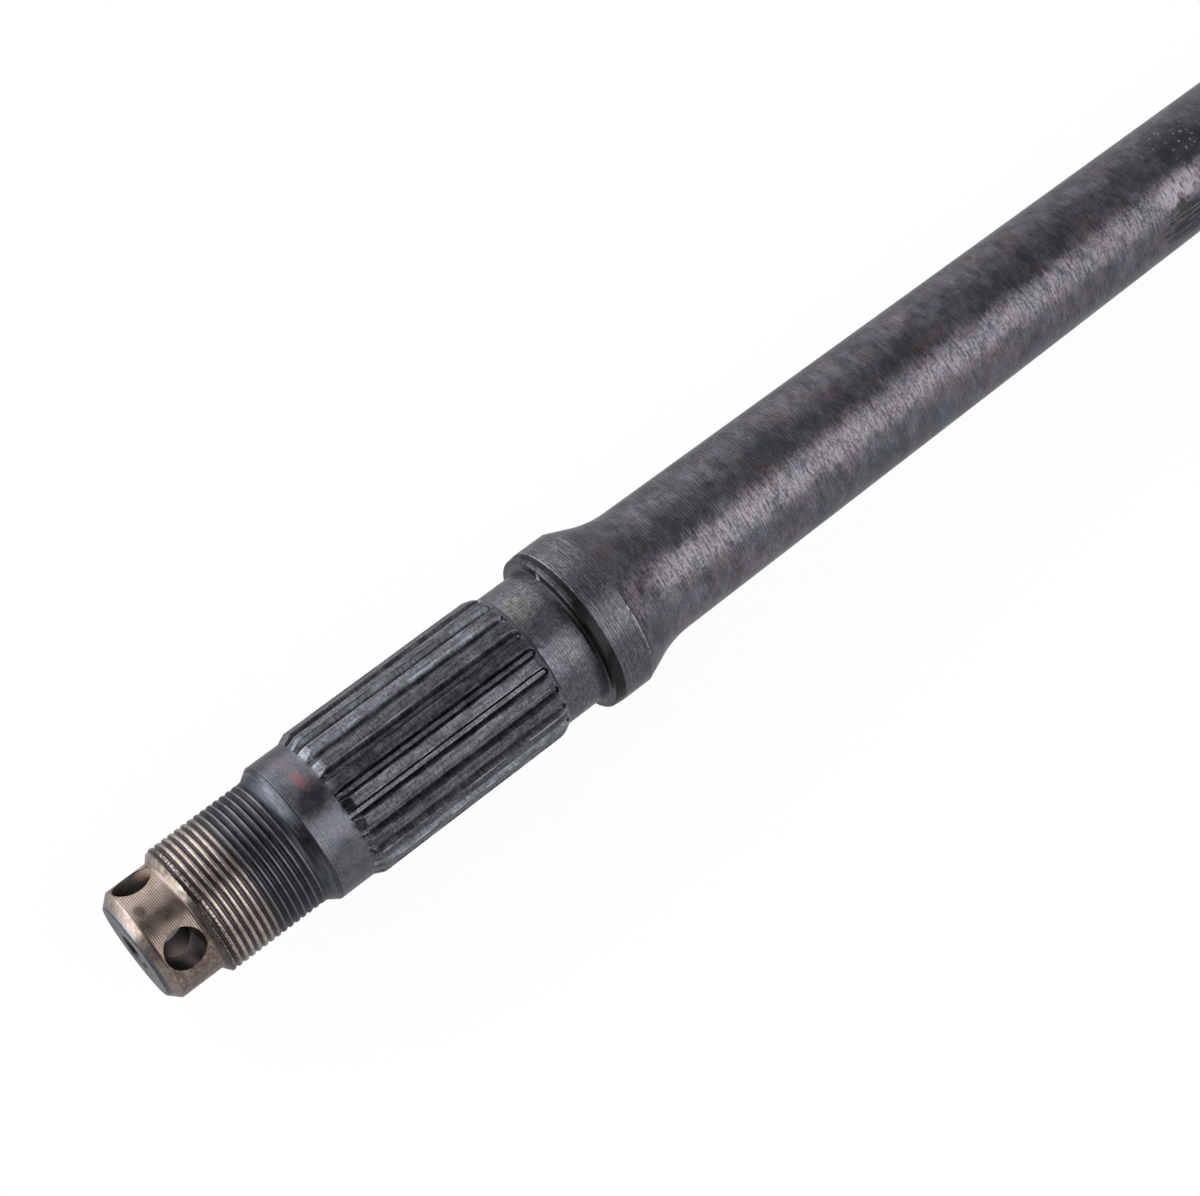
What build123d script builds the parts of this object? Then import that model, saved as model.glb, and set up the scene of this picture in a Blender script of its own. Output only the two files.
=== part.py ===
from build123d import *
import os
from math import atan2, degrees, pi, radians, sin, tan

# Rear wheel axle: one solid steel shaft with the same threaded, splined and collared end
# on both sides. Millimetres. The axle lies along Y with its middle at the origin.
# Lengths are given in the order met when walking in from an end face.

overall_length = 860.0

# End and cross-drilled pilot
end_chamfer = 2.1
pilot_radius = 12.2
pilot_length = 11.2
pin_hole_radius = 4.15
pin_hole_from_end = 6.7
pin_hole_edge_break = 0.25
pin_hole_angles = (47.7, -42.3)

# Centre-drilled hole left in the end face by the turning
centre_mouth_radius = 3.9
centre_drill_radius = 1.6
centre_drill_depth = 7.5
centre_cone_half_angle = 30.0

# Thread for the hub nut, drawn at its crests, then the cone up to the land
thread_crest_radius = 13.95
thread_lead_length = 1.4
thread_length = 22.1
thread_cone_length = 2.3
land_radius = 15.5
land_length = 7.8

# Spline that drives the wheel hub
spline_teeth = 22
spline_radius = 16.5
spline_root_radius = 15.0
spline_root_width = 1.0
spline_length = 48.7
spline_front_chamfer = 2.1
spline_rear_rounding = 3.1
spline_tooth_share = 0.5
spline_tooth_angle = 29.2
groove_run_out = 0.1

# Journal, then the collar that stops the hub
journal_radius = 15.3
journal_length = 9.9
collar_fillet = 1.5
collar_front_step = 2.5
collar_lead_rise = 0.3
collar_lead_length = 2.8
collar_length = 9.2

# Flare down to the forged body, which tapers to a straight middle
flare_angle = 22.0
flare_rounding = 23.0
body_radius = 14.4
body_middle_radius = 13.2
body_taper_length = 185.0

# How far a cutting shape stands past the metal it cuts
overcut = 1.0

# The collar stands on the journal
collar_front_radius = journal_radius + collar_front_step
collar_radius = collar_front_radius + collar_lead_rise


# Stations, measured from the end face
thread_start = pilot_length + thread_lead_length
thread_end = thread_start + thread_length
land_start = thread_end + thread_cone_length
spline_start = land_start + land_length
spline_end = spline_start + spline_length
collar_start = spline_end + journal_length
collar_end = collar_start + collar_length
flare_end = collar_end + (collar_radius - body_radius) / tan(radians(flare_angle))
taper_end = flare_end + body_taper_length
middle = overall_length / 2


def turned_half():
    """Half of the axle as it leaves the lathe, from the end face at Y = 0 to the middle."""
    rounding_top = spline_end - spline_rear_rounding
    rounding_drop = spline_radius - journal_radius
    outline = Polyline(
        (0, 0),
        (pilot_radius - end_chamfer, 0),
        (pilot_radius, end_chamfer),
        (pilot_radius, pilot_length),
        (thread_crest_radius, thread_start),
        (thread_crest_radius, thread_end),
        (land_radius, land_start),
        (land_radius, spline_start),
        (spline_radius, spline_start + spline_front_chamfer),
        (spline_radius, rounding_top),
        (spline_radius - rounding_drop / 3, rounding_top + 2 * spline_rear_rounding / 3),
        (journal_radius, spline_end),
        (journal_radius, collar_start),
        (collar_front_radius, collar_start),
        (collar_radius, collar_start + collar_lead_length),
        (collar_radius, collar_end),
        (body_radius, flare_end),
        (body_middle_radius, taper_end),
        (body_middle_radius, middle),
        (0, middle),
        (0, 0),
    )
    half = revolve(make_face(outline.edges()), Axis.Y)
    half = fillet(edges_around(half, journal_radius, collar_start), collar_fillet)
    flare_slope = (collar_radius - body_radius) / sin(radians(flare_angle))
    widest_rounding = 0.9 * flare_slope / tan(radians(flare_angle) / 2)
    return fillet(edges_around(half, body_radius, flare_end), min(flare_rounding, widest_rounding))


def edges_around(solid, radius, station):
    """The circular edges of one radius at one station."""
    circles = solid.edges().filter_by(GeomType.CIRCLE)
    return [
        edge
        for edge in circles
        if abs(edge.radius - radius) < 1e-4 and abs(edge.arc_center.Y - station) < 1e-4
    ]


def spline_groove():
    """One groove between two teeth, opening along +Z, with a rounded run-out at its inner end."""
    groove_share = 1 - spline_tooth_share
    root_half = spline_root_width / 2
    tip_half = pi * spline_radius * groove_share / spline_teeth
    depth = spline_radius - spline_root_radius
    height = depth + overcut
    outer_half = root_half + (tip_half - root_half) * height / depth
    run = spline_end + groove_run_out - outer_half - spline_start
    section = Plane.XZ * Polygon(
        (-root_half, 0),
        (root_half, 0),
        (outer_half, height),
        (-outer_half, height),
        align=None,
    )
    straight = extrude(section, amount=run, dir=(0, 1, 0))
    flank_angle = degrees(atan2(outer_half - root_half, height))
    end_sides = RegularPolygon(root_half, 8, major_radius=False, rotation=22.5)
    round_end = extrude(end_sides, amount=height, taper=-flank_angle)
    groove = straight + Pos(0, run, 0) * round_end
    return Pos(0, spline_start, spline_root_radius) * groove


def spline_grooves():
    """All the grooves, turned so that one tooth stands at its measured angle."""
    pitch = 360 / spline_teeth
    first = spline_tooth_angle + pitch / 2
    groove = spline_groove()
    return [Rot(0, first + index * pitch, 0) * groove for index in range(spline_teeth)]


def pin_holes():
    """The two crossing holes for the nut's split pin."""
    through = Cylinder(pin_hole_radius, 2 * (pilot_radius + overcut))
    return [Pos(0, pin_hole_from_end, 0) * Rot(0, angle, 0) * through for angle in pin_hole_angles]


def centre_hole():
    """The centre-drilled hole: a cone at the end face and a small drill beyond it."""
    cone_depth = (centre_mouth_radius - centre_drill_radius) / tan(radians(centre_cone_half_angle))
    outline = Polyline(
        (0, 0),
        (centre_mouth_radius, 0),
        (centre_drill_radius, cone_depth),
        (centre_drill_radius, centre_drill_depth),
        (0, centre_drill_depth),
        (0, 0),
    )
    return revolve(make_face(outline.edges()), Axis.Y)


def broken_hole_edges(half):
    """The half with the outer edges of its pin holes softened."""
    mouths = [
        edge
        for edge in half.edges()
        if edge.geom_type != GeomType.CIRCLE
        and abs(edge.center().Y - pin_hole_from_end) < 2 * pin_hole_radius
        and edge.bounding_box().size.length > pin_hole_radius
        and Vector(edge.center().X, 0, edge.center().Z).length > 0.8 * pilot_radius
    ]
    return chamfer(mouths, pin_hole_edge_break)


def axle():
    half = turned_half() - spline_grooves()
    half = half - pin_holes() - centre_hole()
    half = Pos(0, -middle, 0) * broken_hole_edges(half)
    return half + mirror(half, about=Plane.XZ)


os.makedirs("parts", exist_ok=True)
export_step(axle(), "parts/axle_shaft.step")
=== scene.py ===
import math

import bmesh
import bpy
import numpy as np
from mathutils import Matrix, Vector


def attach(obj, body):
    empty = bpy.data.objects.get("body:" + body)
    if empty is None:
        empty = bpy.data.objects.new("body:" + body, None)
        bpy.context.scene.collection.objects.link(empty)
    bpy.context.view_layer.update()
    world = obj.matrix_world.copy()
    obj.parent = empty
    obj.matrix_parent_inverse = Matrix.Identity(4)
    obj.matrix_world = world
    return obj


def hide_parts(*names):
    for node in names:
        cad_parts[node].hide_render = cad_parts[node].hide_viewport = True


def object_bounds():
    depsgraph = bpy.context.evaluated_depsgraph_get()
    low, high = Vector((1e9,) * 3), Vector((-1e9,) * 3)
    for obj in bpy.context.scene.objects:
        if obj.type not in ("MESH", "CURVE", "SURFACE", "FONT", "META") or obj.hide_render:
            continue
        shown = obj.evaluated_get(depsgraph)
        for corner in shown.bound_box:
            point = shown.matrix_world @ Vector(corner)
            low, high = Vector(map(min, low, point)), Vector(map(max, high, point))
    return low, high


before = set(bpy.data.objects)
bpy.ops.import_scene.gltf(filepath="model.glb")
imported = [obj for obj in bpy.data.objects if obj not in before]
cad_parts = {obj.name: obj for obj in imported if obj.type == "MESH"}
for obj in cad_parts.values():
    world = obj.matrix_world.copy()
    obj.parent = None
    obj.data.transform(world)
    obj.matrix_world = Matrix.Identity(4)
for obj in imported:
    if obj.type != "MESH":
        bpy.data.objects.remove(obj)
cad_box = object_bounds()

# Everything about the axle's shape is in millimetres, with d the distance from an end face.
# The near end, the one that the camera sees, is at -Y; the other end is the same, turned about.
# Angles go round the shaft from straight up towards +X.
MM = 0.001
MIDDLE = 430.0

CENTRE_DRILL_RADIUS = 1.6
CENTRE_MOUTH_RADIUS = 3.9
CENTRE_CONE_DEPTH = 3.98
CENTRE_DRILL_SHOULDER = 7.0
CENTRE_DRILL_TIP = 7.9
END_CHAMFER = 2.1
PILOT_RADIUS = 12.2
PIN_HOLE_RADIUS = 4.15
PIN_HOLE_D = 6.7
PIN_HOLE_ANGLES = (47.7, -42.3)

LEAD_START = 11.2
THREAD_START = 12.6
THREAD_END = 34.7
THREAD_RADIUS = 13.95
THREAD_PITCH = 1.5
THREAD_DEPTH = 0.3
THREAD_FADE = (30.6, 35.2)
FIRST_CREST = 13.93
LAND_START = 37.0
LAND_RADIUS = 15.5

TEETH = 22
TOOTH_ANGLE = math.radians(29.2)
SPLINE_START = 44.8
SPLINE_END = 93.5
SPLINE_RADIUS = 16.5
SPLINE_CHAMFER = 2.1
SPLINE_ROUNDING = 3.1
ROOT_RADIUS = 15.0

JOURNAL_RADIUS = 15.3
COLLAR_START = 103.4
COLLAR_LEAD_END = 105.7
COLLAR_END = 112.6
COLLAR_FRONT_RADIUS = 17.8
COLLAR_RADIUS = 18.1
FLARE_END = 121.76
BODY_RADIUS = 14.4
TAPER_END = 306.8
BODY_MIDDLE_RADIUS = 13.2

# One turn of the tool along the shaft, on the pilot and on the rougher turning behind it
FEED = 0.43
COARSE_FEED = 0.62


def add_object(name, data):
    """A new object in the scene with the given data."""
    thing = bpy.data.objects.new(name, data)
    bpy.context.scene.collection.objects.link(thing)
    return thing


def placing(right, up, back, place):
    """The matrix of a camera or lamp at a place, facing away from back."""
    rows = [(right[i], up[i], back[i], place[i]) for i in range(3)]
    return Matrix(rows + [(0.0, 0.0, 0.0, 1.0)])


def make_camera():
    data = bpy.data.cameras.new("camera")
    data.lens = 75.0
    data.sensor_width = 36.0
    data.clip_start = 0.01
    data.clip_end = 50.0
    cam = add_object("camera", data)
    cam.matrix_world = placing(
        right=(0.6480, 0.7616, 0.0),
        up=(-0.6684, 0.5687, 0.4795),
        back=(0.3650, -0.3110, 0.8776),
        place=(0.1827, -0.4714, 0.4417),
    )
    bpy.context.scene.camera = cam


# The axle's mesh

COLUMNS = 220
EVEN_ANGLES = TOOTH_ANGLE + 2 * math.pi * np.arange(COLUMNS) / COLUMNS


class Shell:
    """Vertices and faces of one half, gathered ring by ring from the end face to the middle."""

    def __init__(self):
        self.points = []
        self.faces = []

    def ring(self, angles, radii, stations):
        """Adds one vertex for each angle and returns their numbers."""
        angles, radii, stations = np.broadcast_arrays(angles, radii, stations)
        first = len(self.points)
        for angle, radius, d in zip(angles, radii, stations):
            self.points.append((radius * math.sin(angle), d - MIDDLE, radius * math.cos(angle)))
        return list(range(first, len(self.points)))

    def face(self, *corners):
        """Adds a face, leaving out corners that have come together."""
        kept = []
        for corner in corners:
            if corner not in kept:
                kept.append(corner)
        if len(kept) > 2:
            self.faces.append(kept)

    def bridge(self, a, b):
        for j in range(COLUMNS):
            k = (j + 1) % COLUMNS
            self.face(a[j], a[k], b[k], b[j])


def rounded(corners):
    """The outline through (d, radius, rounding, steps) corners, with the corners rounded."""
    path = []
    for i, (d, r, rounding, steps) in enumerate(corners):
        here = np.array((d, r))
        if rounding == 0 or i in (0, len(corners) - 1):
            path.append((d, r))
            continue
        before = np.array(corners[i - 1][:2]) - here
        after = np.array(corners[i + 1][:2]) - here
        before_length, after_length = np.hypot(*before), np.hypot(*after)
        before, after = before / before_length, after / after_length
        turn = math.pi - math.acos(np.clip(before @ after, -1, 1))
        widest = 0.48 * min(before_length, after_length)
        reach = min(rounding * math.tan(turn / 2), widest)
        for step in range(steps + 1):
            t = step / steps
            path.append(tuple(here + (1 - t) ** 2 * reach * before + t ** 2 * reach * after))
    return path


def turned(shell, path, last=None):
    """Rings along an outline of (d, radius) points; returns the last one."""
    for d, r in path:
        if r == 0:
            ring = shell.ring(0.0, [0.0], d) * COLUMNS
        else:
            ring = shell.ring(EVEN_ANGLES, r, d)
        if last is not None:
            shell.bridge(last, ring)
        last = ring
    return last


def smoothstep(value, low, high):
    t = np.clip((value - low) / (high - low), 0, 1)
    return t * t * (3 - 2 * t)


def slope(d, d0, r0, d1, r1):
    """The radius at d of the cone through two (d, radius) points."""
    return r0 + (d - d0) * (r1 - r0) / (d1 - d0)


def lead_radius(d):
    """The lead cone in front of the thread."""
    return slope(d, LEAD_START, PILOT_RADIUS, THREAD_START, THREAD_RADIUS)


def blank_radius(d):
    """The metal that the thread is cut in: a cylinder, then the cone up to the land."""
    return max(THREAD_RADIUS, slope(d, THREAD_END, THREAD_RADIUS, LAND_START, LAND_RADIUS))


# One turn of the thread from its crest: how far along the shaft, and how deep
THREAD_ROWS = (
    (-0.22, 0.0),
    (0.22, 0.0),
    (0.28, 0.1),
    (0.56, 1.0),
    (0.94, 1.0),
    (1.22, 0.1),
)
THREAD_FROM = 11.6
THREAD_TO = 35.4
THREAD_SNAP = 0.03
TURNS_BEFORE = 3


def thread(shell, start, stop):
    """The thread between two plain rings. Its rows follow the helix, one pitch to the turn."""
    per_turn = len(THREAD_ROWS)
    turns = int((THREAD_TO - THREAD_FROM) / THREAD_PITCH) + 2 * TURNS_BEFORE
    numbers = {}

    def vertex(row, column):
        if column == COLUMNS:
            row, column = row + per_turn, 0
        if (row, column) in numbers:
            return numbers[row, column]
        offset, depth = THREAD_ROWS[row % per_turn]
        turn = row // per_turn - TURNS_BEFORE + column / COLUMNS
        d = FIRST_CREST + THREAD_PITCH * turn + offset
        if d < THREAD_FROM + THREAD_SNAP:
            number = start[column]
        elif d > THREAD_TO - THREAD_SNAP:
            number = stop[column]
        else:
            fade = 1 - smoothstep(d, *THREAD_FADE)
            radius = min(lead_radius(d), blank_radius(d) - THREAD_DEPTH * fade * depth)
            number = shell.ring(EVEN_ANGLES[column], [radius], d)[0]
        numbers[row, column] = number
        return number

    for row in range(per_turn * turns):
        for column in range(COLUMNS):
            shell.face(
                vertex(row, column),
                vertex(row, column + 1),
                vertex(row + 1, column + 1),
                vertex(row + 1, column),
            )


GROOVE_HALF = 0.5
GROOVE_FLARE = 0.452
GROOVE_END = 92.0
# Half the width that stays between a groove's rows of points once the groove has run out
CLOSED_HALF = 0.12
# Across one groove from its middle: shares of its half width at the tooth tops
GROOVE_SHARES = (0.0, 0.36, 0.53, 0.93)
TOP_EDGE = 0.11
SPLINE_STATIONS = (
    [45.4, 46.2, 46.75, 46.95, 47.3]
    + list(np.linspace(51.0, 88.0, 8))
    + [90.4, 90.9, 91.4, 91.8, 92.0, 92.25, 92.5, 92.68, 92.8, 92.88, 93.2, SPLINE_END]
)


def spline_ring(shell, d, surface):
    """One ring across the teeth, where the tooth tops have the given radius."""
    run_out = max(0.0, d - GROOVE_END)
    mouth = GROOVE_HALF + (surface - ROOT_RADIUS) * GROOVE_FLARE
    is_open = mouth > run_out
    half_width = math.sqrt(mouth ** 2 - run_out ** 2) if is_open else CLOSED_HALF
    offsets, radii = [], []
    for share in GROOVE_SHARES:
        across = share * half_width
        radius = surface
        if is_open:
            floor = ROOT_RADIUS + (math.hypot(across, run_out) - GROOVE_HALF) / GROOVE_FLARE
            radius = min(surface, max(ROOT_RADIUS, floor))
        offsets.append(across / radius)
        radii.append(radius)
    offsets.append((half_width + TOP_EDGE) / surface)
    radii.append(surface)
    # from one tooth's middle over the groove to the next tooth
    half_pitch = math.pi / TEETH
    inward = [half_pitch - offset for offset in reversed(offsets)]
    outward = [half_pitch + offset for offset in offsets[1:]]
    angles = np.array([0.0] + inward + outward)
    levels = [surface] + radii[::-1] + radii[1:]
    all_angles = np.concatenate(
        [TOOTH_ANGLE + 2 * math.pi * tooth / TEETH + angles for tooth in range(TEETH)]
    )
    return shell.ring(all_angles, np.tile(levels, TEETH), d), all_angles


def tooth_top(d):
    """The tooth tops' radius: a chamfer in front, and a rounding down to the journal behind."""
    chamfer_end = SPLINE_START + SPLINE_CHAMFER
    if d < chamfer_end:
        return slope(d, SPLINE_START, LAND_RADIUS, chamfer_end, SPLINE_RADIUS)
    past = d - (SPLINE_END - SPLINE_ROUNDING)
    if past <= 0:
        return SPLINE_RADIUS
    drop = SPLINE_RADIUS - JOURNAL_RADIUS
    curve = (SPLINE_ROUNDING ** 2 + drop ** 2) / (2 * drop)
    return SPLINE_RADIUS - (curve - math.sqrt(curve ** 2 - past ** 2))


# The longest stretch of plain shaft between two rings
LONGEST_STRETCH = 24


def with_more_rings(path):
    """The same outline with points added on its long stretches."""
    dense = []
    for (d0, r0), (d1, r1) in zip(path[:-1], path[1:]):
        pieces = 1 + int(max(d1 - d0, 0.0) // LONGEST_STRETCH)
        for k in range(pieces):
            t = k / pieces
            dense.append((d0 + t * (d1 - d0), r0 + t * (r1 - r0)))
    dense.append(path[-1])
    return dense


def build_half():
    shell = Shell()
    front = rounded(
        [
            (CENTRE_DRILL_TIP, 0.0, 0, 0),
            (CENTRE_DRILL_SHOULDER, CENTRE_DRILL_RADIUS, 0, 0),
            (CENTRE_CONE_DEPTH, CENTRE_DRILL_RADIUS, 0, 0),
            (0.0, CENTRE_MOUTH_RADIUS, 0.25, 3),
            (0.0, PILOT_RADIUS - END_CHAMFER, 0.5, 4),
            (END_CHAMFER, PILOT_RADIUS, 0.7, 4),
        ]
        + [(d, PILOT_RADIUS, 0, 0) for d in np.linspace(3.0, 10.4, 13)]
        + [(LEAD_START, PILOT_RADIUS, 0.6, 3), (THREAD_FROM, lead_radius(THREAD_FROM), 0, 0)]
    )
    start = turned(shell, front)
    stop = shell.ring(EVEN_ANGLES, blank_radius(THREAD_TO), THREAD_TO)
    thread(shell, start, stop)
    land = rounded(
        [
            (THREAD_TO, blank_radius(THREAD_TO), 0, 0),
            (LAND_START, LAND_RADIUS, 0.35, 3),
            (SPLINE_START, LAND_RADIUS, 0, 0),
        ]
    )[1:-1]
    land += [(d, LAND_RADIUS) for d in (38.2, 40.0, 42.0, 43.8)]
    last = turned(shell, land, stop)
    # the land's last ring has the teeth's own angles, and a step leads from it down to the grooves
    teeth, angles = spline_ring(shell, SPLINE_START, LAND_RADIUS)
    edge = shell.ring(angles, LAND_RADIUS, SPLINE_START)
    shell.bridge(last, edge)
    shell.bridge(edge, teeth)
    for d in SPLINE_STATIONS:
        ring, _ = spline_ring(shell, d, tooth_top(d))
        shell.bridge(teeth, ring)
        teeth = ring
    rear = rounded(
        [
            (SPLINE_END, JOURNAL_RADIUS, 0, 0),
            (COLLAR_START, JOURNAL_RADIUS, 1.9, 6),
            (COLLAR_START, COLLAR_FRONT_RADIUS, 0.45, 4),
            (COLLAR_LEAD_END, COLLAR_RADIUS, 0.3, 2),
            (COLLAR_END, COLLAR_RADIUS, 0.35, 3),
            (FLARE_END, BODY_RADIUS, 23.0, 8),
            (TAPER_END, BODY_MIDDLE_RADIUS, 400.0, 4),
            (MIDDLE, BODY_MIDDLE_RADIUS, 0, 0),
        ]
    )[1:]
    journal = [(d, JOURNAL_RADIUS) for d in (94.5, 96.5, 99.0, 101.2)]
    turned(shell, with_more_rings(journal + rear), teeth)
    return shell


def turn_faces_outward(mesh, merge_within=0.0):
    """Turns the mesh's faces outward, after merging its points if a distance is given."""
    work = bmesh.new()
    work.from_mesh(mesh)
    if merge_within:
        bmesh.ops.remove_doubles(work, verts=work.verts, dist=merge_within)
    bmesh.ops.recalc_face_normals(work, faces=work.faces)
    work.to_mesh(mesh)
    work.free()


HOLE_SIDES = 72
# The rounding of a pin hole's mouth, the bevel outside it, and the cutter's top over the metal
HOLE_LIP = 0.18
HOLE_BEVEL = 0.12
HOLE_BEVEL_SLOPE = math.tan(math.radians(60))
CUTTER_TOP = 1.2


def hole_cutter(name, station, angle):
    """A through cutter for one pin hole, with lips that follow the round pilot."""
    # (how much wider than the hole, how far above the pilot's surface), from inside out
    steps = []
    for share in (0, 30, 60):
        bend = math.radians(share)
        steps.append((HOLE_LIP * (1 - math.cos(bend)), -HOLE_LIP * (1 - math.sin(bend))))
    # then out over the metal, so that the bevel meets the whole of the round surface
    widest = steps[-1][0] + HOLE_BEVEL * HOLE_BEVEL_SLOPE
    steps += [(widest, steps[-1][1] + HOLE_BEVEL), (widest, CUTTER_TOP)]
    rows = [(w, e, 1) for w, e in reversed(steps)] + [(w, e, -1) for w, e in steps]
    points, faces = [], []
    for widen, lift, side in rows:
        radius = PIN_HOLE_RADIUS + widen
        for a in 2 * math.pi * np.arange(HOLE_SIDES) / HOLE_SIDES:
            surface = math.sqrt(PILOT_RADIUS ** 2 - (PIN_HOLE_RADIUS * math.sin(a)) ** 2)
            across, along = radius * math.sin(a), radius * math.cos(a)
            points.append((across * MM, (station + along) * MM, side * (surface + lift) * MM))
    last = (len(rows) - 1) * HOLE_SIDES
    for row in range(0, last, HOLE_SIDES):
        for j in range(HOLE_SIDES):
            k = (j + 1) % HOLE_SIDES
            faces.append((row + j, row + k, row + HOLE_SIDES + k, row + HOLE_SIDES + j))
    faces.append(tuple(range(HOLE_SIDES - 1, -1, -1)))
    faces.append(tuple(range(last, last + HOLE_SIDES)))
    mesh = bpy.data.meshes.new(name)
    mesh.from_pydata(points, [], faces)
    mesh.transform(Matrix.Rotation(math.radians(angle), 4, "Y"))
    turn_faces_outward(mesh)
    return add_object(name, mesh)


SHARP_ANGLE = math.radians(32)


def build_axle():
    half = build_half()
    near = np.array(half.points) * MM
    # the far half is the near one turned half round about the first tooth's direction
    tooth = np.array((math.sin(TOOTH_ANGLE), 0.0, math.cos(TOOTH_ANGLE)))
    far = 2 * (near @ tooth)[:, None] * tooth - near
    points = np.vstack((near, far))
    faces = half.faces + [[i + len(near) for i in f] for f in half.faces]
    mesh = bpy.data.meshes.new("axle")
    mesh.from_pydata(points.tolist(), [], faces)
    turn_faces_outward(mesh, merge_within=1e-6)
    axle = add_object("axle", mesh)

    cutters = []
    for side in (-1, 1):
        for number, angle in enumerate(PIN_HOLE_ANGLES):
            station = side * (MIDDLE - PIN_HOLE_D)
            cutters.append(hole_cutter(f"cutter_{side}_{number}", station, angle))
    for cutter in cutters:
        modifier = axle.modifiers.new(cutter.name, "BOOLEAN")
        modifier.operation = "DIFFERENCE"
        modifier.solver = "EXACT"
        modifier.object = cutter
    bpy.context.view_layer.update()
    evaluated = axle.evaluated_get(bpy.context.evaluated_depsgraph_get())
    cut = bpy.data.meshes.new_from_object(evaluated)
    axle.modifiers.clear()
    axle.data = cut
    cut.name = "axle"
    for cutter in cutters:
        bpy.data.objects.remove(cutter)
    cut.polygons.foreach_set("use_smooth", [True] * len(cut.polygons))
    cut.set_sharp_from_angle(angle=SHARP_ANGLE)
    return axle


# Tools for the materials


class Field:
    """A number that varies over the surface, with ordinary arithmetic."""

    def __init__(self, tree, socket):
        self.tree = tree
        self.socket = socket

    def math(self, operation, *others):
        node = self.tree.nodes.new("ShaderNodeMath")
        node.operation = operation
        for slot, value in zip(node.inputs, (self, *others)):
            plug(value, slot)
        return Field(self.tree, node.outputs[0])

    def __add__(self, other):
        return self.math("ADD", other)

    def __sub__(self, other):
        return self.math("SUBTRACT", other)

    def __mul__(self, other):
        return self.math("MULTIPLY", other)

    def __truediv__(self, other):
        return self.math("DIVIDE", other)

    def flipped(self):
        """One minus this."""
        node = self.tree.nodes.new("ShaderNodeMath")
        node.operation = "SUBTRACT"
        node.inputs[0].default_value = 1.0
        plug(self, node.inputs[1])
        return Field(self.tree, node.outputs[0])

    def rise(self, low, high, start=0.0, end=1.0):
        """Smoothly from start to end as this goes from low to high."""
        node = self.tree.nodes.new("ShaderNodeMapRange")
        node.interpolation_type = "SMOOTHSTEP"
        ends = {"From Min": low, "From Max": high, "To Min": start, "To Max": end}
        for name, value in {"Value": self, **ends}.items():
            plug(value, node.inputs[name])
        return Field(self.tree, node.outputs["Result"])

    def band(self, low, high, soft):
        """One between low and high, fading out over soft on both sides."""
        return self.rise(low - soft, low) * self.rise(high, high + soft).flipped()

    def line(self, at, full, gone):
        """One where this is within full of at, and zero where it is further than gone."""
        return (self - at).math("ABSOLUTE").rise(full, gone).flipped()

    def swing(self, size):
        """A noise's swing to both sides of its middle, made size times as large."""
        return (self - 0.5) * size

    def shade(self, darkest, palest, spread=0.2):
        """A factor that goes with a noise, over the given spread to both sides of its middle."""
        return self.rise(0.5 - spread, 0.5 + spread, darkest, palest)


def plug(value, slot):
    """Sets a socket to a number or a colour, or links it to a field or another socket."""
    if isinstance(value, Field):
        value.tree.links.new(value.socket, slot)
    elif isinstance(value, bpy.types.NodeSocket):
        slot.id_data.links.new(value, slot)
    elif slot.type == "RGBA":
        slot.default_value = (*value, 1.0)
    else:
        slot.default_value = value


def coordinates(tree, kind, scale=1.0):
    """A texture coordinate as three fields and as one socket."""
    coords = tree.nodes.new("ShaderNodeTexCoord")
    scaled = tree.nodes.new("ShaderNodeVectorMath")
    scaled.operation = "SCALE"
    plug(coords.outputs[kind], scaled.inputs[0])
    plug(scale, scaled.inputs["Scale"])
    split = tree.nodes.new("ShaderNodeSeparateXYZ")
    plug(scaled.outputs[0], split.inputs[0])
    return [Field(tree, socket) for socket in split.outputs], scaled.outputs[0]


def vector(x, y, z):
    node = x.tree.nodes.new("ShaderNodeCombineXYZ")
    for slot, value in zip(node.inputs, (x, y, z)):
        plug(value, slot)
    return node.outputs[0]


def noise(tree, where, scale, detail, roughness):
    node = tree.nodes.new("ShaderNodeTexNoise")
    settings = {"Vector": where, "Scale": scale, "Detail": detail, "Roughness": roughness}
    for name, value in settings.items():
        plug(value, node.inputs[name])
    return Field(tree, node.outputs[0])


def painted(colour, *coats):
    """A colour with coats laid over it in turn, each a (share, colour) pair."""
    for share, coat in coats:
        node = share.tree.nodes.new("ShaderNodeMix")
        node.data_type = "RGBA"
        for slot, value in ((0, share), (6, colour), (7, coat)):
            plug(value, node.inputs[slot])
        colour = node.outputs[2]
    return colour


def shaded(colour, *factors):
    """A colour multiplied by each factor in turn."""
    for factor in factors:
        node = factor.tree.nodes.new("ShaderNodeVectorMath")
        node.operation = "SCALE"
        plug(colour, node.inputs[0])
        plug(factor, node.inputs["Scale"])
        colour = node.outputs[0]
    return colour


# The axle's material

# Where one zone's colour gives way to the next: the change begins and ends at these distances
THREAD_SEAM = (11.3, 11.7)
LAND_SEAM = (36.8, 37.0)
SPLINE_SEAM = (44.78, 44.82)
JOURNAL_SEAM = (93.0, 93.6)
FRONT_BAND_SEAM = (102.9, 103.3)
COLLAR_SEAM = (105.5, 105.7)
BODY_SEAM = (112.8, 114.2)

VIOLET_OXIDE = (0.096, 0.090, 0.103)
BLUE_OXIDE = (0.080, 0.081, 0.096)
PALE_OXIDE = (0.132, 0.123, 0.140)
WARM_OXIDE = (0.116, 0.093, 0.096)
COOL_OXIDE = (0.078, 0.087, 0.108)
HIGHLIGHT_FLECK = (0.205, 0.180, 0.196)
RUBBED_SHEEN_PATCH = (0.265, 0.250, 0.272)
SCUFF = (0.060, 0.060, 0.070)
SCUFF_SPECK = (0.420, 0.420, 0.490)
SHAFT_DIRT = (0.032, 0.029, 0.032)
SHAFT_DIRT_SCRATCH = (0.170, 0.162, 0.175)

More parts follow.
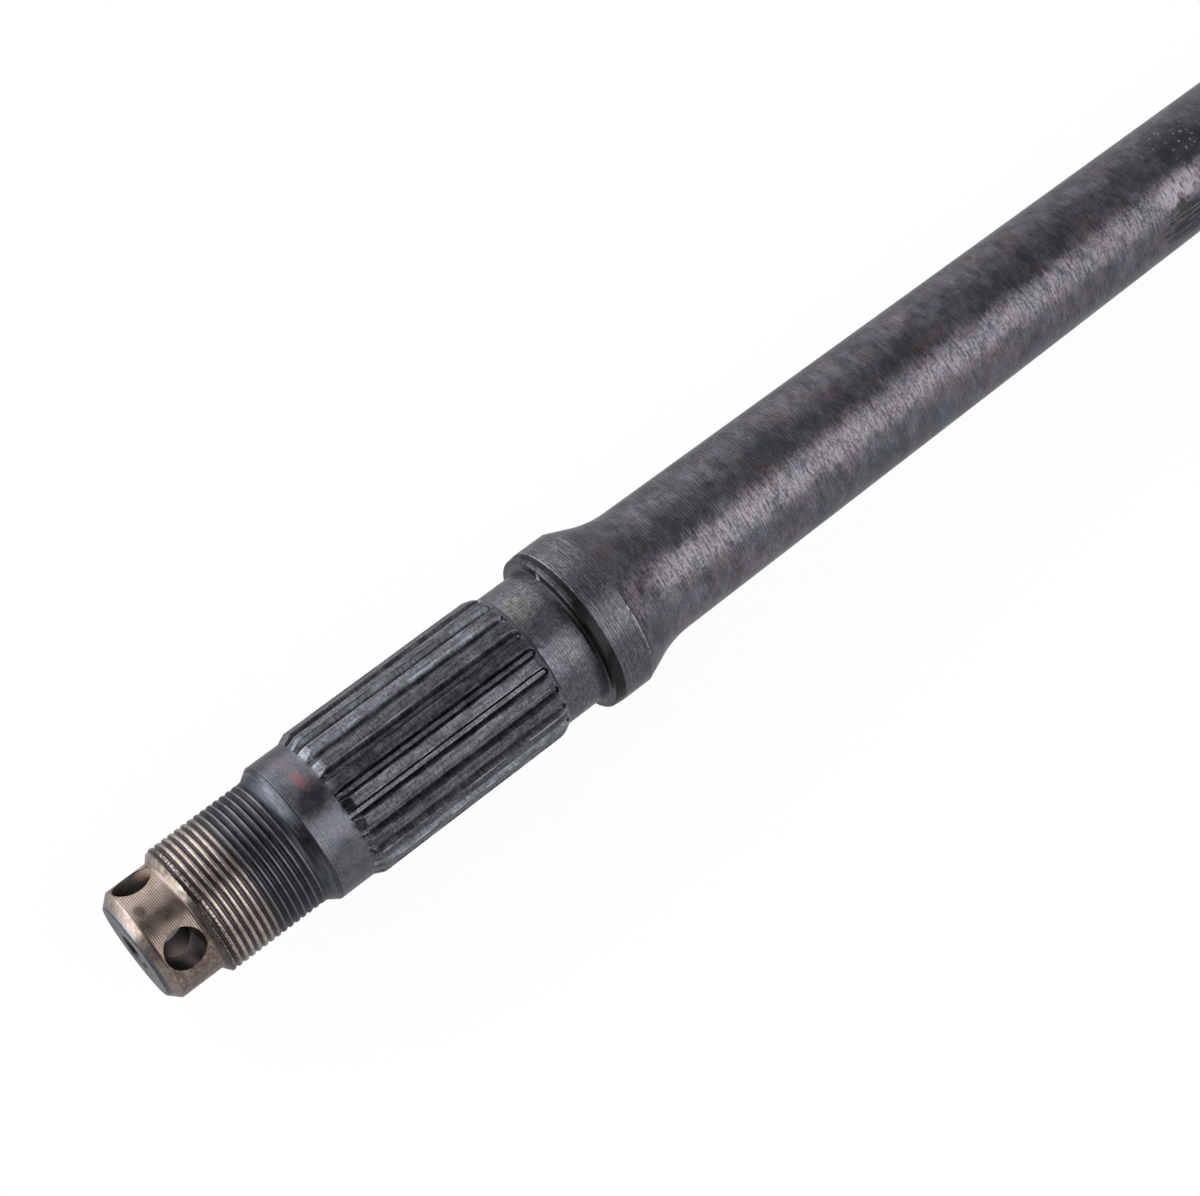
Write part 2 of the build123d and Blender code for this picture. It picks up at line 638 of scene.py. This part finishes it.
BRONZE_DEEP = (0.175, 0.138, 0.117)
BRONZE_PALE = (0.240, 0.193, 0.166)
BRONZE_PIT = (0.040, 0.032, 0.030)
BRONZE_SMUDGE = (0.045, 0.036, 0.034)
BRONZE_CRUST = (0.072, 0.050, 0.040)
CHAMFER_SIDE = (0.112, 0.092, 0.083)
CHAMFER_BELOW = (0.205, 0.168, 0.150)
CHAMFER_HIGHLIGHT = (0.230, 0.192, 0.168)
RIM = (0.090, 0.084, 0.090)
RIM_HIGHLIGHT = (0.180, 0.170, 0.178)
FACE_DARK = (0.034, 0.034, 0.044)
FACE_PALE = (0.070, 0.067, 0.078)
FACE_PIT = (0.020, 0.018, 0.022)
BORE = (0.150, 0.138, 0.132)
BORE_LIT = (0.480, 0.390, 0.330)
CENTRE_HOLE = (0.040, 0.040, 0.046)

BRONZE_GROOVE = (0.052, 0.042, 0.045)
BRONZE_CREST = (0.310, 0.260, 0.228)
THREAD_GRIME = (0.036, 0.028, 0.027)
LEAD = (0.075, 0.062, 0.058)
LEAD_HIGHLIGHT = (0.300, 0.255, 0.220)
LEAD_PIT = (0.060, 0.050, 0.048)
FIRST_GROOVE = (0.026, 0.021, 0.023)
DARK_GROOVE = (0.027, 0.028, 0.034)
DARK_CREST = (0.102, 0.102, 0.113)
DARK_CREST_HIGHLIGHT = (0.150, 0.149, 0.165)
CONE_DARK = (0.044, 0.047, 0.056)
CONE_PALE = (0.072, 0.076, 0.090)
CONE_STREAK = (0.110, 0.117, 0.140)

LAND_DARK = (0.072, 0.075, 0.090)
LAND_PALE = (0.105, 0.105, 0.118)
LAND_EDGE_SHADE = (0.020, 0.021, 0.026)
HEAT_RED = (0.225, 0.095, 0.100)
HEAT_RED_FAINT = (0.150, 0.088, 0.095)

FLANK = (0.068, 0.072, 0.082)
TOOTH_TOP = (0.070, 0.071, 0.081)
GROOVE_FLOOR = (0.080, 0.081, 0.090)
TOOTH_EDGE = (0.200, 0.205, 0.230)
TOOTH_FRONT_HIGHLIGHT = (0.230, 0.235, 0.260)
TOOTH_REAR = (0.120, 0.117, 0.128)
TOOTH_REAR_EDGE = (0.170, 0.168, 0.180)

JOURNAL_VIOLET = (0.085, 0.082, 0.092)
JOURNAL_BLUE = (0.081, 0.080, 0.096)
JOURNAL_GREEN = (0.122, 0.116, 0.100)
FRONT_BAND_DARK_AND_SHADE = (0.012, 0.013, 0.014)
FRONT_BAND_PALE = (0.023, 0.024, 0.025)
FRONT_BAND_SHOULDER_HIGHLIGHT = (0.095, 0.097, 0.105)
COLLAR_FILLET = (0.070, 0.071, 0.076)
COLLAR = (0.084, 0.080, 0.090)
COLLAR_FRONT_EDGE_HIGHLIGHT = (0.300, 0.300, 0.330)
COLLAR_REAR_EDGE_HIGHLIGHT = (0.260, 0.255, 0.285)
NICK = (0.850, 0.850, 0.950)


class Surface:
    """Where a point lies on the axle, and the noises that the colours share."""

    def __init__(self, tree):
        (x, y, z), here = coordinates(tree, "Object", 1 / MM)
        self.radius = (x * x + z * z).math("SQRT")
        self.d = y.math("ABSOLUTE") * -1.0 + MIDDLE
        self.from_near_end = y + MIDDLE
        self.angle = x.math("ARCTAN2", z)
        self.side = y.math("SIGN")
        self.near_half = y.rise(-40.0, 40.0).flipped()
        cx, cz = x / self.radius, z / self.radius

        def skin(around, along, detail, roughness):
            """Noise with its own scale round the shaft and along it."""
            where = vector(cx * around, y * along, cz * around)
            return noise(tree, where, 1.0, detail, roughness)

        # mottling in the oxide, from coarse to fine
        self.clouds = noise(tree, here, 0.055, 3.0, 0.55)
        self.other_clouds = noise(tree, vector(z, x, y), 0.09, 3.0, 0.6)
        self.tint = noise(tree, vector(y, z, x), 0.20, 3.0, 0.7)
        self.patches = noise(tree, here, 0.35, 4.0, 0.6)
        self.mottle = noise(tree, here, 1.0, 3.0, 0.65)
        self.grain = noise(tree, here, 2.2, 3.0, 0.6)
        # scratches along the shaft
        self.drawn = skin(24.0, 0.16, 3.0, 0.6)
        # marks of the turning: long around the shaft, short along it
        self.bars = skin(2.4, 0.32, 3.0, 0.6)
        self.streaks = skin(3.0, 3.2, 2.0, 0.6)
        self.short_streaks = skin(5.0, 1.8, 3.0, 0.65)
        self.flecks = skin(20.0, 1.9, 3.0, 0.75)
        self.feed = (y * (2 * math.pi / FEED)).math("SINE")
        self.rings = (y * (2 * math.pi / COARSE_FEED)).math("SINE") * self.patches.rise(0.30, 0.60)

        self.uneven_d = self.d + self.grain.swing(0.4)
        # the upper side, towards the light, whose edges get painted highlights
        self.lit_side = self.angle.rise(math.radians(9.0), math.radians(19.0)).flipped()
        self.lit_side = self.lit_side * self.angle.rise(-1.45, -1.20)
        # painted light: the journal and the collar are made paler on their upper side, towards the
        # light
        self.upper_side_light = self.angle.rise(0.25, 0.48, 1.32, 1.0)
        # the pilot has fine feed lines, except on its dirty lower side
        self.lined = self.radius.rise(11.9, 12.1) * self.d.band(2.5, 10.9, 0.2)
        self.lined = self.lined * self.angle.rise(1.05, 1.25).flipped()
        self.bore = self.radius.rise(11.7, 12.05).flipped() * self.d.rise(2.2, 2.5)
        # painted light: a pale patch on the bore's wall near its mouth, on the side towards the
        # light
        bore_lit = self.radius.rise(8.5, 11.0) * self.angle.rise(-0.1, 0.1).flipped()
        self.bore_lit = bore_lit * self.d.rise(6.5, 9.0)

    def spot(self, at, turn, radius, half_length, half_width, ragged, inner=0.6, outer=1.3):
        """A patch on the near end, such as a stain or a painted highlight: one inside an oval, zero
        outside it.

        It lies at millimetres from the end face, turn degrees round, on a surface of the
        given radius. Inner and outer say where it begins and ends to fade.
        """
        across = (self.angle - math.radians(turn)) * (radius / half_width)
        forward = (self.from_near_end - at) / half_length
        return (across * across + forward * forward + ragged).rise(inner, outer).flipped()


def body_colour(s):
    """Dark oiled steel with brown-violet and blue clouds, with pale flecks as a painted highlight
    and a rubbed patch brightened as a painted highlight.
    """
    body = painted(
        VIOLET_OXIDE,
        (s.clouds.rise(0.44, 0.58), BLUE_OXIDE),
        (s.other_clouds.rise(0.46, 0.68) * 0.6, PALE_OXIDE),
        (s.tint.rise(0.52, 0.64) * 0.60, WARM_OXIDE),
        (s.tint.rise(0.34, 0.47).flipped() * 0.60, COOL_OXIDE),
    )
    # painted highlight: a darker base with pale pinkish flecks on the band round the near half
    # where the lamp's highlight falls
    highlight_band = s.angle.band(0.42, 0.78, 0.22) * s.near_half
    body = shaded(
        body,
        s.bars.shade(0.80, 1.25),
        s.patches.shade(0.90, 1.12),
        s.short_streaks.shade(0.80, 1.22, 0.22),
        s.flecks.rise(0.30, 0.72, 0.84, 1.22),
        s.rings * s.d.rise(150.0, 240.0).flipped() * 0.32 + 1.0,
        highlight_band * -0.22 + 1.0,
    )
    flecked = (s.short_streaks * 0.40 + s.flecks * 0.36 + s.patches * 0.24).rise(0.44, 0.60)
    # a scuffed stretch, a rubbed stretch brightened as a painted highlight, and a dirty stretch far
    # along the near half
    scuff = s.spot(278.0, -8.0, 13.4, 7.0, 7.5, s.patches.swing(3.0))
    rubbed_sheen = s.spot(271.0, 36.0, 13.4, 6.0, 4.2, s.patches.swing(4.0))
    dirt = s.spot(273.0, 66.0, 13.4, 8.0, 5.5, s.patches.swing(4.0))
    return painted(
        body,
        (highlight_band * flecked * 0.75, HIGHLIGHT_FLECK),
        (scuff * 0.6, SCUFF),
        (scuff * s.mottle.rise(0.59, 0.66) * s.patches.rise(0.45, 0.56), SCUFF_SPECK),
        (rubbed_sheen * s.short_streaks.rise(0.30, 0.58) * 0.65, RUBBED_SHEEN_PATCH),
        (dirt * 0.85, SHAFT_DIRT),
        (dirt * s.drawn.rise(0.50, 0.66) * 0.6, SHAFT_DIRT_SCRATCH),
    )


def tip_colour(s):
    """The pilot's bright bronze turning, the chamfer, the end face and the holes."""
    fuzz = s.grain.swing(2.4)
    bronze = painted(BRONZE_DEEP, (s.patches.rise(0.35, 0.65), BRONZE_PALE))
    # painted shade: the bronze is darker in a narrow band about 8 to 15 degrees round from the top
    bronze = shaded(
        bronze, s.feed * s.lined * 0.5 + 1.0, s.angle.band(0.14, 0.26, 0.12) * -0.35 + 1.0
    )
    smudge = s.spot(4.1, -4.0, PILOT_RADIUS, 1.1, 1.4, fuzz, 0.0, 1.6)
    # brown dirt on the lower side and round the mouths of the pin holes
    crusted = (s.mottle * 0.6 + s.grain * 0.4).rise(0.42, 0.54)
    mouths = [
        s.spot(PIN_HOLE_D, turn, PILOT_RADIUS, 5.6, 5.4, fuzz, 0.3, 1.3) for turn in PIN_HOLE_ANGLES
    ]
    dirty = (s.angle.rise(0.70, 1.05) + (mouths[0] + mouths[1]) * 0.8).math("MINIMUM", 1.0)
    # painted highlight: the chamfer is paler on the side towards the light
    chamfer = painted(
        CHAMFER_SIDE, (s.angle.rise(0.60, 0.95), CHAMFER_BELOW), (s.lit_side, CHAMFER_HIGHLIGHT)
    )
    face = shaded(
        painted(FACE_DARK, (s.mottle.rise(0.35, 0.65), FACE_PALE)),
        s.radius.rise(4.5, 7.5, 0.45, 1.0),
    )
    return painted(
        bronze,
        (s.grain.rise(0.62, 0.72) * 0.7, BRONZE_PIT),
        (smudge * 0.75, BRONZE_SMUDGE),
        (dirty * crusted * 0.65, BRONZE_CRUST),
        (s.uneven_d.rise(2.2, 2.6).flipped(), shaded(chamfer, s.mottle.shade(0.75, 1.20))),
        # painted highlight: the rim is paler on the side towards the light
        (s.uneven_d.rise(0.5, 0.9).flipped(), painted(RIM, (s.lit_side, RIM_HIGHLIGHT))),
        (
            s.uneven_d.rise(0.10, 0.30).flipped(),
            painted(face, (s.grain.rise(0.60, 0.70) * 0.8, FACE_PIT)),
        ),
        (s.bore, painted(BORE, (s.bore_lit, BORE_LIT))),
        (s.radius.rise(CENTRE_MOUTH_RADIUS, 4.2).flipped() * s.d.rise(-0.1, 0.3), CENTRE_HOLE),
    )


def thread_colour(s):
    """Pale bronze crests on the first turns, then blue-black with thin pale crests."""
    turn = (s.angle - TOOTH_ANGLE) * s.side * (0.5 / math.pi) + (s.d - FIRST_CREST) / THREAD_PITCH
    from_crest = turn.math("PINGPONG", 0.5) * THREAD_PITCH
    # the grooves are darker than the crests: oxide in the hollows, and painted shade standing in
    # for depth the shallow thread lacks
    wide_crest = (from_crest + s.flecks.swing(0.3)).rise(0.26, 0.42).flipped()
    thin_crest = (from_crest + s.flecks.swing(0.1)).rise(0.06, 0.24).flipped()
    # painted highlight: the lead cone is paler on the side towards the light
    lead = shaded(painted(LEAD, (s.lit_side, LEAD_HIGHLIGHT)), s.mottle.shade(0.60, 1.30))
    first_turns = shaded(
        painted(BRONZE_GROOVE, (wide_crest, BRONZE_CREST)),
        s.patches.shade(0.75, 1.2),
        # painted highlight: the crests are paler in a band round the shaft where the lamp's
        # highlight falls
        s.angle.band(0.40, 0.58, 0.15) * 0.35 + 1.0,
    )
    first_turns = painted(
        first_turns,
        (s.grain.rise(0.56, 0.69) * 0.65, THREAD_GRIME),
        (
            s.d.rise(12.5, 12.9).flipped(),
            painted(lead, (s.grain.rise(0.58, 0.68) * 0.6, LEAD_PIT)),
        ),
        (s.d.band(12.6, 14.0, 0.3) * s.grain.rise(0.44, 0.54) * 0.8, FIRST_GROOVE),
    )
    # painted highlight: the thin crests are paler on the side towards the light
    dark_crest = painted(DARK_CREST, (s.lit_side, DARK_CREST_HIGHLIGHT))
    later_turns = shaded(
        painted(DARK_GROOVE, (thin_crest, dark_crest)), s.patches.shade(0.7, 1.3)
    )
    cone = painted(
        CONE_DARK,
        (s.streaks.rise(0.45, 0.65), CONE_PALE),
        (s.d.band(35.6, 36.4, 0.4) * s.streaks.rise(0.40, 0.62) * 0.45, CONE_STREAK),
    )
    return painted(
        first_turns,
        ((s.d + s.patches.swing(6.0)).rise(20.5, 25.5), later_turns),
        (s.uneven_d.rise(33.9, 34.6), cone),
    )


def land_colour(s):
    """Blue-grey, clouded, with a painted shade line at its edge and a reddish heat stain."""
    land = shaded(
        painted(LAND_DARK, (s.patches.rise(0.35, 0.65), LAND_PALE)),
        s.grain.shade(0.80, 1.20),
        s.feed * s.d.band(37.4, 38.6, 0.2) * 0.5 + 1.0,
    )
    # painted shade: a dark line round the land's front edge
    land = painted(land, (s.d.line(37.05, 0.06, 0.16) * 0.8, LAND_EDGE_SHADE))
    brown = s.spot(40.9, 12.0, LAND_RADIUS, 3.6, 3.4, s.patches.swing(2.0), 0.1, 1.5)
    red = s.spot(41.6, -5.5, LAND_RADIUS, 1.2, 2.8, s.mottle.swing(2.4), -0.4, 1.7)
    red_above = s.spot(41.3, -30.0, LAND_RADIUS, 2.0, 3.4, s.mottle.swing(2.0), 0.0, 1.6)
    return painted(
        shaded(land, brown * -0.4 + 1.0),
        (red * 0.70, HEAT_RED),
        (red_above * 0.25, HEAT_RED_FAINT),
    )


def spline_colour(s):
    """Mottled tooth tops with paler groove floors and darker flanks."""
    front_top = (s.d - SPLINE_START) / SPLINE_CHAMFER + LAND_RADIUS
    past = (s.d - (SPLINE_END - SPLINE_ROUNDING)).math("MAXIMUM", 0.0)
    surface = front_top.math("MINIMUM", past * past * -0.125 + SPLINE_RADIUS)
    top = (surface - s.radius).rise(0.10, 0.26).flipped()
    floor = s.radius.rise(15.05, 15.30).flipped()
    fleck_tone = s.flecks.shade(0.50, 1.50, 0.22)
    teeth = shaded(
        painted(FLANK, (top, TOOTH_TOP), (floor * 0.7, GROOVE_FLOOR)),
        fleck_tone,
        s.drawn.shade(0.62, 1.44),
        s.rings * top * 0.13 + 1.0,
        s.patches.shade(0.80, 1.22),
        # painted light and shade: the teeth are paler on their upper side and darker where the
        # lamp's highlight falls
        s.angle.rise(0.10, 0.42, 1.26, 0.82) + s.angle.rise(0.70, 0.95, 0.0, 0.22),
    )
    # the teeth's edges are rubbed bright; their fronts get a painted highlight on the side that
    # faces the light
    tooth_phase = ((s.angle - TOOTH_ANGLE) * (TEETH / (2 * math.pi))).math("PINGPONG", 0.5)
    edge = tooth_phase.band(0.215, 0.250, 0.015) * top * s.drawn.rise(0.48, 0.60)
    # painted highlight on the tooth fronts, on the side towards the light
    front = s.d.rise(46.4, 47.0).flipped() * s.lit_side * top
    return painted(
        teeth,
        (edge * 0.7, TOOTH_EDGE),
        (front * s.mottle.rise(0.40, 0.68) * 0.55, TOOTH_FRONT_HIGHLIGHT),
        (s.d.rise(91.6, 92.8) * 0.85, shaded(TOOTH_REAR, fleck_tone)),
    )


def journal_colour(s):
    """An oil film, faintly yellow-green and violet, in shadow at the collar."""
    greenish = s.spot(95.6, -14.0, JOURNAL_RADIUS, 3.5, 4.5, s.patches.swing(3.0))
    journal = painted(
        JOURNAL_VIOLET,
        (s.other_clouds.rise(0.42, 0.58), JOURNAL_BLUE),
        (greenish * 0.45, JOURNAL_GREEN),
    )
    return shaded(
        journal,
        s.mottle.shade(0.72, 1.28),
        s.rings * 0.22 + 1.0,
        s.flecks.shade(0.62, 1.38, 0.25),
        # painted light: paler on the upper side, towards the light
        s.upper_side_light,
        s.d.rise(100.2, 102.3, 1.0, 0.42),
        s.d.rise(102.3, 102.9, 1.0, 0.50),
    )


def front_band_colour(s):
    """The collar's dark front, with painted shade on it, its fillet, and a painted highlight on its
    shoulder.
    """
    # painted highlight: the shoulder is paler on the side towards the light
    shoulder = s.d.band(103.6, 104.3, 0.3) * s.lit_side
    fillet = s.d.rise(103.0, 103.35) * s.radius.rise(17.3, 17.7).flipped()
    return painted(
        # a dark band, made near black as painted shade
        FRONT_BAND_DARK_AND_SHADE,
        (s.patches.rise(0.3, 0.7), FRONT_BAND_PALE),
        (shoulder * s.mottle.rise(0.30, 0.60) * 0.6, FRONT_BAND_SHOULDER_HIGHLIGHT),
        (fillet, COLLAR_FILLET),
    )


def collar_colour(s):
    """The collar's turned and rubbed rim, behind its front edge."""
    collar = shaded(
        COLLAR,
        s.streaks.shade(0.70, 1.30, 0.25),
        s.flecks.shade(0.58, 1.42, 0.22),
        s.rings * 0.30 + 1.0,
        # painted light and shade: paler on the upper side and darker where the lamp's highlight
        # falls
        s.upper_side_light * (s.angle.band(0.52, 0.92, 0.15) * -0.14 + 1.0),
    )
    # painted highlight: a pale line along the front edge, on the side towards the light
    edge = (s.d + s.grain.swing(0.15)).line(105.75, 0.05, 0.18)
    return painted(
        collar, (edge * s.mottle.rise(0.42, 0.56) * s.lit_side * 0.8, COLLAR_FRONT_EDGE_HIGHLIGHT)
    )


def steel():
    material = bpy.data.materials.new("shaft_steel")
    material.use_nodes = True
    tree = material.node_tree
    shader = tree.nodes["Principled BSDF"]
    s = Surface(tree)

    # painted highlight: a pale broken line along the collar's rear edge, faint round the top
    rear_edge_highlight = (s.d + s.grain.swing(0.15)).line(112.55, 0.06, 0.22)
    rear_edge_highlight = rear_edge_highlight * (s.angle.band(-0.30, 0.36, 0.15) * -0.8 + 1.0)
    nick = s.spot(103.3, -22.0, 16.6, 0.7, 0.5, s.grain.swing(0.48))
    nick = nick * s.radius.band(15.9, 17.3, 0.1)
    colour = painted(
        tip_colour(s),
        (s.uneven_d.rise(*THREAD_SEAM), thread_colour(s)),
        (s.uneven_d.rise(*LAND_SEAM), land_colour(s)),
        (s.d.rise(*SPLINE_SEAM), spline_colour(s)),
        (s.uneven_d.rise(*JOURNAL_SEAM), journal_colour(s)),
        (s.d.line(93.2, 0.10, 0.50) * 0.45, TOOTH_REAR_EDGE),
        (s.d.rise(*FRONT_BAND_SEAM), front_band_colour(s)),
        (s.uneven_d.rise(*COLLAR_SEAM), collar_colour(s)),
        (s.uneven_d.rise(*BODY_SEAM), body_colour(s)),
        (rear_edge_highlight * s.mottle.rise(0.38, 0.54) * 0.8, COLLAR_REAR_EDGE_HIGHLIGHT),
        (nick, NICK),
    )
    plug(colour, shader.inputs["Base Color"])

    # the thread's dark turns are duller, and so is the lit wall of the bore
    rough = s.patches.shade(0.31, 0.43) + s.d.band(24.0, 34.0, 2.0) * 0.08
    plug(rough + s.bore * s.bore_lit * 0.35, shader.inputs["Roughness"])
    shader.inputs["Metallic"].default_value = 1.0
    shader.inputs["Specular Tint"].default_value = (0.7, 0.7, 0.72, 1.0)

    # the marks' heights, in millimetres
    height = (
        s.feed * s.lined * 0.006
        + s.rings * s.d.band(SPLINE_END, 160.0, 60.0) * 0.003
        + s.streaks.swing(0.012)
        + s.flecks.swing(0.020)
        + s.short_streaks.swing(0.03)
        + s.grain.swing(0.006)
    )
    bump = tree.nodes.new("ShaderNodeBump")
    bump.inputs["Strength"].default_value = 1.0
    bump.inputs["Distance"].default_value = MM
    plug(height, bump.inputs["Height"])
    plug(bump.outputs[0], shader.inputs["Normal"])
    return material


# Floor, lamp and world

FLOOR_HALF_SIZE = 8.0
FLOOR_GREY = (0.9, 0.9, 0.9, 1.0)
WHITE = (1.0, 1.0, 1.0, 1.0)
# How much of the floor, as the camera and the reflections see it, is plain white
FLOOR_WHITENESS = 0.95


def blend_shaders(tree, share, first, second, out):
    """Links the surface to a mix of two shaders."""
    node = tree.nodes.new("ShaderNodeMixShader")
    plug(share, node.inputs[0])
    plug(first.outputs[0], node.inputs[1])
    plug(second.outputs[0], node.inputs[2])
    plug(node.outputs[0], out.inputs["Surface"])


def make_floor():
    size, z = FLOOR_HALF_SIZE, cad_box[0].z
    corners = [(-size, -size, z), (size, -size, z), (size, size, z), (-size, size, z)]
    mesh = bpy.data.meshes.new("floor")
    mesh.from_pydata(corners, [], [(0, 1, 2, 3)])
    floor = add_object("floor", mesh)
    material = bpy.data.materials.new("floor")
    material.use_nodes = True
    tree = material.node_tree
    tree.nodes.clear()
    out = tree.nodes.new("ShaderNodeOutputMaterial")
    diffuse = tree.nodes.new("ShaderNodeBsdfDiffuse")
    diffuse.inputs["Color"].default_value = FLOOR_GREY
    glow = tree.nodes.new("ShaderNodeEmission")
    glow.inputs["Strength"].default_value = 1.0
    path = tree.nodes.new("ShaderNodeLightPath")
    seen = Field(tree, path.outputs["Is Camera Ray"])
    for ray in ("Is Glossy Ray", "Is Transmission Ray"):
        seen = seen.math("MAXIMUM", path.outputs[ray])
    blend_shaders(tree, seen * FLOOR_WHITENESS, diffuse, glow, out)
    mesh.materials.append(material)


def softbox(name, angle, distance, y_from, y_to, width, radiance):
    """A lamp beside the axle, facing its axis: angle is from straight up towards +X."""
    data = bpy.data.lights.new(name, "AREA")
    data.shape = "RECTANGLE"
    data.size = width
    data.size_y = y_to - y_from
    data.energy = radiance * math.pi * data.size * data.size_y
    lamp = add_object(name, data)
    bend = math.radians(angle)
    lamp.matrix_world = placing(
        right=(math.cos(bend), 0.0, -math.sin(bend)),
        up=(0.0, 1.0, 0.0),
        back=(math.sin(bend), 0.0, math.cos(bend)),
        place=(math.sin(bend) * distance, (y_from + y_to) / 2, math.cos(bend) * distance),
    )
    lamp.visible_camera = False


# Directions in the room: where the camera stands, and low in front of the tip
CAMERA_SIDE = (0.605, -0.655, 0.454)
TIP_LAMP = (-0.56, -0.80, 0.22)
HORIZON_LEVEL = 1.1
CEILING_LEVEL = 0.36


def make_world():
    """A studio: white near the horizon, a darker ceiling, and a large soft light on the left."""
    world = bpy.data.worlds.new("world")
    bpy.context.scene.world = world
    world.use_nodes = True
    tree = world.node_tree
    tree.nodes.clear()
    out = tree.nodes.new("ShaderNodeOutputWorld")
    (gx, gy, gz), _ = coordinates(tree, "Generated")

    def towards(direction):
        return gx * direction[0] + gy * direction[1] + gz * direction[2]

    # the dark part of the room is where the camera stands
    level = gz.rise(0.05, 0.62, HORIZON_LEVEL, CEILING_LEVEL)
    level = level * towards(CAMERA_SIDE).rise(0.72, 0.95, 1.0, 0.12)
    # the light on the left: strongest in front of the tip, weak along the body
    bend = gx.math("ARCTAN2", gz)
    tilt = gy.rise(0.08, 0.30, 0.0, math.radians(8.0))
    left = (bend + tilt).rise(math.radians(-48.0), math.radians(-10.0), 1.0, 0.0)
    level = level + left * gy.rise(0.06, 0.18, 2.6, 1.3) * gy.rise(0.26, 0.38, 1.0, 0.05)
    level = level + towards(TIP_LAMP).rise(0.80, 0.96, 0.0, 2.5)
    room = tree.nodes.new("ShaderNodeBackground")
    room.inputs["Color"].default_value = WHITE
    plug(level, room.inputs["Strength"])
    plain = tree.nodes.new("ShaderNodeBackground")
    plain.inputs["Color"].default_value = WHITE
    path = tree.nodes.new("ShaderNodeLightPath")
    blend_shaders(tree, path.outputs["Is Camera Ray"], room, plain, out)


make_camera()
axle = build_axle()
axle.data.materials.clear()
axle.data.materials.append(steel())
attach(axle, "root")
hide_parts("axle_shaft")
make_floor()
softbox(
    "softbox_right", angle=47.5, distance=1.2, y_from=-0.5, y_to=0.75, width=0.97, radiance=2.8
)
make_world()
bpy.context.scene.view_settings.view_transform = "Standard"
